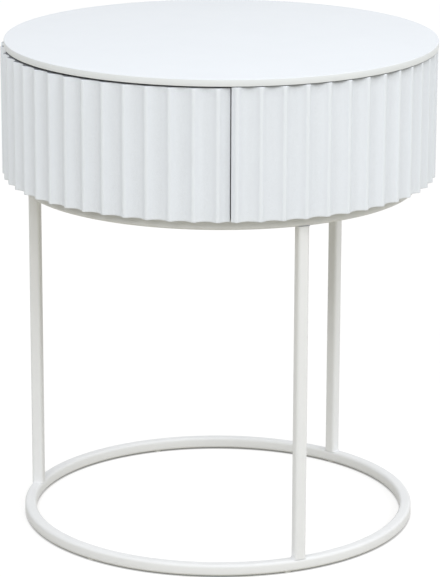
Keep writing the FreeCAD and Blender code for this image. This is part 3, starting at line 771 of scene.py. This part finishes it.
    def build_shell(self) -> bpy.types.Object:
        """Makes the fixed part of the wall.

        Returns:
            The finished piece.
        """
        half_angle = self.seam_angle + self.seam_gap / self.ridge_radius / 2
        shell = self.whole_wall("fluted_shell", self.height, self.inner_radius, self.shell_turn)
        for hand in Hand:
            seam = hand.value * half_angle
            pick(shell, Part.FACE,
                 lambda face: abs(azimuth(middle(face)) - seam) < self.half_pitch * self.seam_reach)
            away = heading(seam + math.pi / 2)
            bpy.ops.mesh.bisect(plane_co=(0, 0, 0), plane_no=away)
        pick(shell, Part.FACE, lambda face: abs(azimuth(middle(face))) < half_angle)
        bpy.ops.mesh.delete(type="FACE")
        for hand in Hand:
            pick(shell, Part.EDGE, lambda edge: edge.is_boundary and middle(edge).x * hand.value > 0)
            bpy.ops.mesh.edge_face_add()
        mend(shell)
        self.round_seams(shell, half_angle)
        return close(shell)

    def build(self) -> None:
        """Makes and dresses both parts of the wall."""
        fit(self.build_front(), LIT_WALL_LACQUER, "drawer", "drawer_front")
        fit(self.build_shell(), LIT_WALL_LACQUER, "table", "fixed_shell")


@dataclass
class RoundTop:
    """The thin round top, a little off the drum's axis, whose rounded rim reaches below its underside."""

    radius: float = 0.2234
    shift: tuple[float, float] = (0.0015, 0.0012)
    low: float = 0.5065
    thick: float = 0.007
    lip: float = 0.001
    lip_width: float = 0.0135
    band_width: float = 0.0035
    band_slack: float = 1.05
    upper_round: float = 0.0008
    upper_segments: int = 4
    lower_round: float = 0.0003
    lower_segments: int = 2
    sides: int = 288

    def build(self) -> None:
        """Makes and dresses the top."""
        deselect()
        bpy.ops.mesh.primitive_circle_add(vertices=self.sides, radius=self.radius, fill_type="NGON",
                                          location=(*self.shift, self.low))
        top = begin("round_top")
        extrude_faces((0, 0, self.thick))
        mend(top)
        pick(top, Part.FACE, lambda face: face.normal.z < -LEVEL_FACE)
        bpy.ops.mesh.inset(thickness=self.band_width)
        bpy.ops.mesh.inset(thickness=self.lip_width - self.band_width)
        extrude_faces((0, 0, self.lip))
        for height, width, segments in (
                (self.low, self.lower_round, self.lower_segments),
                (self.low + self.thick, self.upper_round, self.upper_segments)):
            pick(top, Part.EDGE, lambda edge: level_edge(edge, height) and self.at_rim(edge))
            bevel(width, segments)
        fit(close(top), LACQUER, "table", "top_panel")
        self.face(top, EDGE_BAND, lambda face: abs(face.normal.z) < STEEP_FACE and self.outside(face))
        # The underside inside the rim is dark bare board: the board's own colour and painted shade that
        # darkens the reveal.
        self.face(top, BARE_BOARD_AND_SHADE, lambda face: face.normal.z < STEEP_FACE and not self.outside(face))

    def at_rim(self, edge: bmesh.types.BMEdge) -> bool:
        """Whether an edge runs along the top's rim."""
        centre = Vector((*self.shift, 0))
        return all(same(radius(point.co - centre), self.radius) for point in edge.verts)

    def outside(self, face: bmesh.types.BMFace) -> bool:
        """Whether a face lies outside the edge of the bare underside."""
        edge = self.radius - self.band_width * self.band_slack
        return radius(middle(face) - Vector((*self.shift, 0))) > edge

    def face(self, top: bpy.types.Object, finish: Finish, wanted: Callable[[Element], bool]) -> None:
        """Gives some faces of the top a finish of their own.

        Args:
            top: The finished top.
            finish: The faces' finish.
            wanted: The test that picks the faces out.
        """
        top.data.materials.append(finish.material())
        bpy.ops.object.mode_set(mode="EDIT")
        pick(top, Part.FACE, wanted)
        top.active_material_index = len(top.data.materials) - 1
        bpy.ops.object.material_slot_assign()
        bpy.ops.object.mode_set(mode="OBJECT")


# Frame

@dataclass
class TubeFrame:
    """The welded frame of square tube: a ring on the floor, three legs and a ring under the drum.

    weld_steps are the weld's shape: its height in shares of weld_rise, and its width there in shares of
    weld_spread.
    """

    tube: float = 0.012
    corner: float = 0.003
    corner_segments: int = 6
    ring_radius: float = 0.2008
    lower_ring_low: float = 0.001
    leg_low: float = 0.013
    leg_length: float = 0.3475
    front_leg_angle: float = math.radians(63.7)
    weld_spread: float = 0.0011
    weld_rise: float = 0.0016
    weld_steps: tuple[tuple[float, float], ...] = ((1.0, 0.0), (0.35, 0.3), (0.0, 1.0))
    leg_crease: float = 50.0
    sides: int = 288
    glide_radius: float = 0.0045
    glide_height: float = 0.001
    glide_ease: float = 0.0003
    glide_segments: int = 3
    glide_sides: int = 40
    glide_count: int = 6
    lug_angles: tuple[float, ...] = (45.0, 135.0, 225.0, 315.0)
    lug_thick: float = 0.003
    lug_reach: float = 0.024
    screw_head: float = 0.008
    screw_head_height: float = 0.002
    screw_shank: float = 0.004
    screw_length: float = 0.011
    screw_twist: float = 1.7

    @property
    def drum_low(self) -> float:
        """The height of the drum's underside."""
        return self.leg_low + self.leg_length + self.tube

    def build_ring(self, name: str, low: float) -> bpy.types.Object:
        """Makes a ring of square tube with rounded corners.

        Args:
            name: The new piece's name.
            low: The height of its underside.

        Returns:
            The finished piece.
        """
        inner, outer = self.ring_radius - self.tube / 2, self.ring_radius + self.tube / 2
        deselect()
        bpy.ops.mesh.primitive_circle_add(vertices=self.sides, radius=inner, location=(0, 0, low))
        ring = begin(name)
        extrude_edges((0, 0, 0))
        spread(outer / inner, (0, 0, low))
        bpy.ops.mesh.select_all(action="SELECT")
        extrude_faces((0, 0, self.tube))
        mend(ring)
        levels = (low, low + self.tube)
        pick(ring, Part.EDGE, lambda edge: any(level_edge(edge, height) for height in levels)
             and same(radius(edge.verts[0].co), radius(edge.verts[1].co)))
        bevel(self.corner, self.corner_segments)
        return close(ring)

    def build_leg(self, name: str, angle: float) -> bpy.types.Object:
        """Makes a leg of square tube that swells into a weld at both ends.

        Args:
            name: The new piece's name.
            angle: The leg's azimuth.

        Returns:
            The finished piece.
        """
        high = self.leg_low + self.leg_length
        deselect()
        bpy.ops.mesh.primitive_cube_add(
            size=1, location=(0, -self.ring_radius, self.leg_low + self.leg_length / 2),
            scale=(self.tube, self.tube, self.leg_length))
        leg = begin(name)
        pick(leg, Part.EDGE, upright_edge)
        bevel(self.corner, self.corner_segments)
        for end, inwards in ((self.leg_low, 1), (high, -1)):
            for step, share in self.weld_steps:
                height = end + inwards * self.weld_rise * step
                if step > 0:
                    bpy.ops.mesh.select_all(action="SELECT")
                    bpy.ops.mesh.bisect(plane_co=(0, 0, height), plane_no=(0, 0, 1))
                pick(leg, Part.POINT, lambda point: same(point.co.z, height))
                wider = 1 + 2 * self.weld_spread * share / self.tube
                bpy.ops.transform.resize(value=(wider, 1, 1),
                                         center_override=(0, -self.ring_radius, height))
        deselect()
        leg.rotation_euler = (0, 0, angle)
        return close(leg, self.leg_crease)

    def build_glides(self) -> bpy.types.Object:
        """Makes the low glides under the floor ring.

        Returns:
            The finished piece.
        """
        deselect()
        bpy.ops.mesh.primitive_cylinder_add(
            vertices=self.glide_sides, radius=self.glide_radius, depth=self.glide_height,
            location=(0, 0, self.glide_height / 2))
        glide = begin("glide")
        pick(glide, Part.EDGE, lambda edge: level_edge(edge, 0))
        bevel(self.glide_ease, self.glide_segments)
        close(glide)
        turns = [math.tau * index / self.glide_count for index in range(self.glide_count)]
        return copies(glide, "floor_glide_discs",
                      [(heading(turn) * self.ring_radius, Quaternion()) for turn in turns])

    def build_screws(self) -> bpy.types.Object:
        """Makes the screws that hold the drum from below, heads down.

        Returns:
            The finished piece.
        """
        master = ScrewPattern(self.screw_head, self.screw_head_height, self.screw_shank,
                              self.screw_length).build()
        spot = self.ring_radius - self.tube / 2 - self.lug_reach / 2
        level = Vector((0, 0, self.drum_low - self.lug_thick))
        places = [(heading(math.radians(angle)) * spot + level,
                   Quaternion((0, 0, 1), math.radians(angle * self.screw_twist)))
                  for angle in self.lug_angles]
        return copies(master, "frame_screw_set", places)

    def build(self) -> None:
        """Makes and dresses the frame."""
        legs = (("front_left_leg", -self.front_leg_angle), ("front_right_leg", self.front_leg_angle),
                ("rear_leg", math.pi))
        fit(self.build_ring("floor_ring", self.lower_ring_low), POWDER_COAT, "table", "lower_ring")
        fit(self.build_ring("drum_ring", self.leg_low + self.leg_length), POWDER_COAT, "table",
            "upper_ring")
        for node, angle in legs:
            fit(self.build_leg("welded_" + node, angle), POWDER_COAT, "table", node)
        fit(self.build_glides(), GLIDE_PLASTIC, "table", "floor_glides")
        fit(self.build_screws(), ZINC_SCREW, "table", "frame_screws")
        dress(POWDER_COAT, "mounting_lugs")


@dataclass
class ScrewPattern:
    """A round-headed screw with a cross recess, pointing up from the seat of its head at the origin.

    The sizes of the recess, the rounding of the head and the tip are shares of the screw's own sizes.
    """

    head: float
    head_height: float
    shank: float
    length: float
    sides: int = 32
    head_round: float = 0.7
    head_segments: int = 5
    tip: float = 0.15
    recess_length: float = 0.52
    recess_width: float = 0.12
    recess_depth: float = 0.65
    recess_taper: float = 0.55

    def build(self) -> bpy.types.Object:
        """Makes the screw.

        Returns:
            The finished screw at the origin.
        """
        deselect()
        bpy.ops.mesh.primitive_cylinder_add(
            vertices=self.sides, radius=self.head / 2, depth=self.head_height,
            location=(0, 0, -self.head_height / 2))
        screw = begin("screw")
        pick(screw, Part.EDGE, lambda edge: level_edge(edge, -self.head_height))
        bevel(self.head_height * self.head_round, self.head_segments)
        pick(screw, Part.FACE, lambda face: face.normal.z > LEVEL_FACE)
        bpy.ops.mesh.inset(thickness=(self.head - self.shank) / 2)
        extrude_faces((0, 0, self.length - self.shank / 2))
        extrude_faces((0, 0, self.shank / 2))
        spread(self.tip, (0, 0, self.length))
        close(screw)
        for turn in (0, math.pi / 2):
            take_away(screw, self.slot(turn))
        return close(screw)

    def slot(self, turn: float) -> bpy.types.Object:
        """Makes the solid that one arm of the cross recess takes away.

        Args:
            turn: The arm's angle.

        Returns:
            The cutter.
        """
        deselect()
        deep = self.head_height * self.recess_depth
        bpy.ops.mesh.primitive_cube_add(
            size=1, location=(0, 0, -self.head_height), rotation=(0, 0, turn),
            scale=(self.head * self.recess_length, self.head * self.recess_width, 2 * deep))
        cutter = begin("recess")
        pick(cutter, Part.FACE, lambda face: face.normal.z > LEVEL_FACE)
        spread(self.recess_taper, (0, 0, deep - self.head_height))
        return close(cutter)


# Carcass, slides and drawer

@dataclass
class Carcass:
    """The boards inside the drum, with their dowels, glue blocks and hidden screws."""

    boards: tuple[str, ...] = ("base_panel", "carcass_top", "left_partition", "right_partition")
    wood: tuple[str, ...] = ("partition_dowels", "glue_blocks")
    screws: tuple[str, ...] = ("top_screws",)

    def build(self) -> None:
        """Dresses the carcass."""
        dress(BOARD, *self.boards)
        dress(BEECH, *self.wood)
        dress(ZINC_SCREW, *self.screws)


@dataclass
class Slides:
    """The two telescopic ball slides."""

    rails: tuple[str, ...] = ("outer_rail", "middle_rail", "inner_rail")
    cages: tuple[str, ...] = ("outer_cages", "inner_cages")
    screws: tuple[str, ...] = ("outer_rail_screws", "inner_rail_screws")

    def build(self) -> None:
        """Dresses both slides."""
        for hand in Hand:
            side = hand.name.lower()
            dress(ZINC_RAIL, *(f"{side}_{rail}" for rail in self.rails))
            dress(BALL_STEEL, *(f"{side}_{cage}" for cage in self.cages))
        dress(ZINC_SCREW, *self.screws)


@dataclass
class DrawerBox:
    """The drawer's box behind its front: sides and back with eased rims, and a thin bottom."""

    outer: float = 0.1253
    thick: float = 0.012
    low: float = 0.395
    height: float = 0.09
    back_low: float = 0.408
    back_y: float = 0.15
    front_radius: float = 0.2084
    ease: float = 0.001
    ease_segments: int = 3

    def board(self, name: str, low: Vector, high: Vector) -> bpy.types.Object:
        """Makes a board between two corners, in edit mode.

        Args:
            name: The new piece's name.
            low: Its lowest corner.
            high: Its highest corner.

        Returns:
            The piece in edit mode.
        """
        deselect()
        bpy.ops.mesh.primitive_cube_add(size=1, location=(low + high) / 2, scale=high - low)
        return begin(name)

    def ease_rim(self, piece: bpy.types.Object) -> bpy.types.Object:
        """Rounds the upper edges of a board and finishes it.

        Args:
            piece: The board in edit mode.

        Returns:
            The finished piece.
        """
        pick(piece, Part.EDGE, lambda edge: level_edge(edge, self.low + self.height))
        bevel(self.ease, self.ease_segments)
        return close(piece)

    def build_side(self, hand: Hand) -> bpy.types.Object:
        """Makes one side, its fore end cut to meet the curved front.

        Args:
            hand: Which side.

        Returns:
            The finished piece.
        """
        inner = self.outer - self.thick
        near, far = sorted((hand.value * inner, hand.value * self.outer))
        side = self.board(f"drawer_{hand.name.lower()}_board",
                          Vector((near, -self.front_radius, self.low)),
                          Vector((far, self.back_y, self.low + self.height)))
        ends = [Vector((hand.value * reach, -math.sqrt(self.front_radius ** 2 - reach ** 2), 0))
                for reach in (inner, self.outer)]
        run = ends[1] - ends[0]
        away = Vector((run.y, -run.x, 0)) * hand.value
        bpy.ops.mesh.select_all(action="SELECT")
        bpy.ops.mesh.bisect(plane_co=ends[0], plane_no=away, use_fill=True, clear_outer=True)
        return self.ease_rim(side)

    def build_back(self) -> bpy.types.Object:
        """Makes the back between the sides.

        Returns:
            The finished piece.
        """
        half = self.outer - self.thick
        back = self.board("drawer_back_board", Vector((-half, self.back_y - self.thick, self.back_low)),
                          Vector((half, self.back_y, self.low + self.height)))
        return self.ease_rim(back)

    def build(self) -> None:
        """Makes and dresses the box."""
        for hand in Hand:
            fit(self.build_side(hand), BOARD, "drawer", f"drawer_{hand.name.lower()}_side")
        fit(self.build_back(), BOARD, "drawer", "drawer_back")
        dress(PANEL, "drawer_bottom")
        dress(BEECH, "front_dowels")
        dress(ZINC_SCREW, "back_screws", "bottom_screws")


# Studio

@dataclass
class Lamp:
    """A square soft lamp in the arc of lamps round the table, pointing at the middle of the table."""

    name: str
    azimuth: float
    power: float
    elevation: float = math.radians(35)
    distance: float = 7.2
    aim: float = 0.35
    width: float = 3.2

    def build(self) -> None:
        """Adds the lamp, kept out of the gloss so that the top doesn't turn white from behind."""
        light = bpy.data.lights.new(self.name, "AREA")
        light.size = self.width
        light.energy = self.power
        lamp = bpy.data.objects.new(self.name, light)
        away = heading(self.azimuth) * math.cos(self.elevation) + Vector((0, 0, math.sin(self.elevation)))
        lamp.location = away * self.distance + Vector((0, 0, self.aim))
        lamp.rotation_mode = "QUATERNION"
        lamp.rotation_quaternion = (-away).to_track_quat("-Z", "Y")
        lamp.visible_glossy = False
        bpy.context.scene.collection.objects.link(lamp)


@dataclass
class Studio:
    """A pale floor, soft light from in front and above, and the camera."""

    camera_distance: float = 2.9055
    camera_height: float = 1.0553
    camera_azimuth: float = math.radians(39.7)
    camera_pitch: float = 0.27214
    camera_roll: float = 0.0033
    focal_pixels: float = 2863.7
    image_height: float = 577.0
    image_width: float = 440.0
    image_centre: float = 218.67
    sensor: float = 36.0
    camera_reach: float = 200.0
    floor_size: float = 60.0
    floor_colour: Triple = (0.46, 0.438, 0.35)
    floor_glow: float = 0.75
    floor_share: float = 0.3
    floor_contact_shade: float = 0.0025
    sky_strength: float = 0.61
    lamps: list[Lamp] = field(default_factory=lambda: [
        Lamp("left_softbox", math.radians(-40), 27),
        Lamp("front_softbox", math.radians(20), 164),
        Lamp("front_right_softbox", math.radians(60), 90.4),
        Lamp("right_softbox", math.radians(100), 96.8),
        Lamp("rear_right_softbox", math.radians(140), 91.6),
    ])

    def camera_ray(self, tree: bpy.types.NodeTree) -> bpy.types.NodeSocket:
        """Tells the rays that show the background from those that light the table.

        Args:
            tree: The node tree of the floor or the sky.

        Returns:
            1 for what is seen, mirrored or seen through glass, else 0.
        """
        path = tree.nodes.new("ShaderNodeLightPath")
        seen = path.outputs["Is Camera Ray"]
        for other in ("Is Glossy Ray", "Is Transmission Ray"):
            either = tree.nodes.new("ShaderNodeMath")
            either.operation = "MAXIMUM"
            tree.links.new(seen, either.inputs[0])
            tree.links.new(path.outputs[other], either.inputs[1])
            seen = either.outputs["Value"]
        return seen

    def build_sky(self) -> None:
        """Lights the room evenly and shows white behind the object."""
        world = bpy.data.worlds.new("studio")
        bpy.context.scene.world = world
        world.use_nodes = True
        tree = world.node_tree
        sky = tree.nodes["Background"]
        strength = tree.nodes.new("ShaderNodeMapRange")
        strength.inputs["To Min"].default_value = self.sky_strength
        strength.inputs["To Max"].default_value = 1.0
        tree.links.new(self.camera_ray(tree), strength.inputs["Value"])
        tree.links.new(strength.outputs["Result"], sky.inputs["Strength"])
        sky.inputs["Color"].default_value = (1, 1, 1, 1)

    def floor_material(self) -> bpy.types.Material:
        """Makes the floor white to the camera, but for the table's soft shadow and a painted contact
        shadow, where ambient occlusion darkens the glow along the table's feet.

        Returns:
            The material.
        """
        made = bpy.data.materials.new("pale_floor")
        made.use_nodes = True
        tree = made.node_tree
        tree.nodes.clear()
        plain = tree.nodes.new("ShaderNodeBsdfDiffuse")
        plain.inputs["Color"].default_value = (*self.floor_colour, 1)
        shaded = tree.nodes.new("ShaderNodeBsdfDiffuse")
        shaded.inputs["Color"].default_value = (*(self.floor_share,) * 3, 1)
        glow = tree.nodes.new("ShaderNodeEmission")
        glow.inputs["Strength"].default_value = self.floor_glow
        # Painted contact shadow: ambient occlusion darkens the floor's glow where the table meets it.
        contact = tree.nodes.new("ShaderNodeAmbientOcclusion")
        contact.inputs["Distance"].default_value = self.floor_contact_shade
        tree.links.new(contact.outputs["Color"], glow.inputs["Color"])
        seen = tree.nodes.new("ShaderNodeAddShader")
        mix = tree.nodes.new("ShaderNodeMixShader")
        output = tree.nodes.new("ShaderNodeOutputMaterial")
        tree.links.new(shaded.outputs["BSDF"], seen.inputs[0])
        tree.links.new(glow.outputs["Emission"], seen.inputs[1])
        tree.links.new(self.camera_ray(tree), mix.inputs["Fac"])
        tree.links.new(plain.outputs["BSDF"], mix.inputs[1])
        tree.links.new(seen.outputs["Shader"], mix.inputs[2])
        tree.links.new(mix.outputs["Shader"], output.inputs["Surface"])
        return made

    def build_floor(self) -> None:
        """Lays the floor."""
        deselect()
        bpy.ops.mesh.primitive_plane_add(size=self.floor_size, location=(0, 0, 0))
        floor = bpy.context.object
        floor.name = "studio_floor"
        floor.data.materials.append(self.floor_material())

    def build_camera(self) -> None:
        """Sets the camera at the photograph's viewing angle."""
        data = bpy.data.cameras.new("view")
        data.sensor_width = self.sensor
        data.lens = self.focal_pixels / self.image_height * self.sensor
        data.shift_x = (self.image_width / 2 - self.image_centre) / self.image_height
        data.clip_end = self.camera_reach
        camera = bpy.data.objects.new("view", data)
        out = heading(self.camera_azimuth)
        camera.location = out * self.camera_distance + Vector((0, 0, self.camera_height))
        ahead = -out * math.cos(self.camera_pitch) - Vector((0, 0, math.sin(self.camera_pitch)))
        camera.rotation_mode = "QUATERNION"
        roll = Quaternion((0, 0, 1), self.camera_roll)
        camera.rotation_quaternion = ahead.to_track_quat("-Z", "Y") @ roll
        bpy.context.scene.collection.objects.link(camera)
        bpy.context.scene.camera = camera

    def build(self) -> None:
        """Sets up the floor, the light and the camera."""
        bpy.context.scene.view_settings.view_transform = "Standard"
        self.build_sky()
        self.build_floor()
        for lamp in self.lamps:
            lamp.build()
        self.build_camera()


def main() -> None:
    """Builds and dresses the table, then sets up the studio."""
    logging.basicConfig(level=logging.INFO, format="%(message)s")
    for assembly in (FlutedDrum(), RoundTop(), TubeFrame(), Carcass(), Slides(), DrawerBox(), Studio()):
        assembly.build()
        LOG.info("%s done", type(assembly).__name__)
    deselect()


if __name__ == "__main__":
    main()
